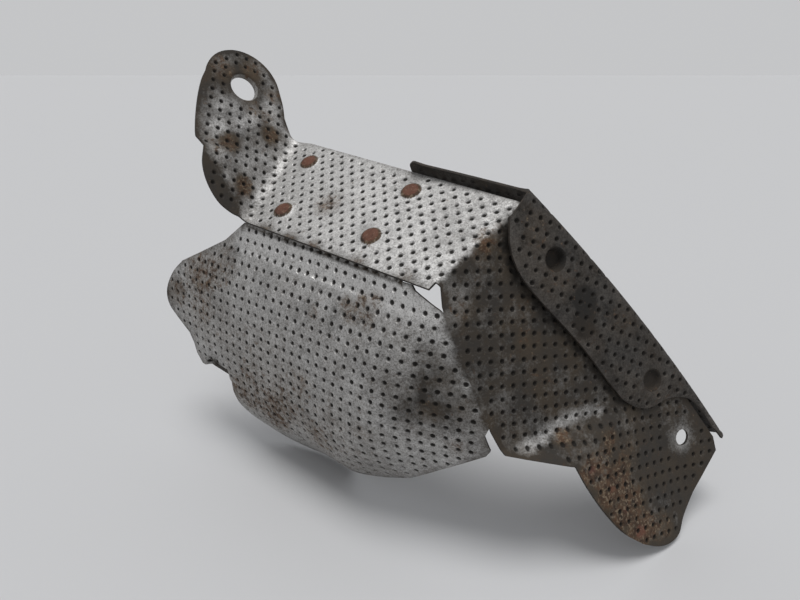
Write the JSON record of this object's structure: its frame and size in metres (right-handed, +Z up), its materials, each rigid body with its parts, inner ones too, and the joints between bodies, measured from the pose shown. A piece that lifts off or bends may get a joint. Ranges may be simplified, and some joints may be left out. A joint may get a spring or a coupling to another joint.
{
  "type": "exhaust heat shield",
  "caption": "Folded and drawn perforated sheet heat shield for an exhaust, with a holed ear, a kicked-out foot and a folded corner strip; worn and rusted.",
  "frame": {"origin": "on the ground under the middle of the box round the shield as it stands", "axes": "+Z up, +X along its longest side towards the foot, -Y towards the viewer of the drawn front"},
  "size_m": [0.2492, 0.1302, 0.1781],
  "materials": {
    "shield_sheet": "perforated coated steel, dull, rusted and dirty",
    "strip_sheet": "perforated coated steel, dull and dirty"
  },
  "bodies": {
    "root": {"shield": "shield_sheet", "corner_strip": "strip_sheet"}
  },
  "joints": []
}
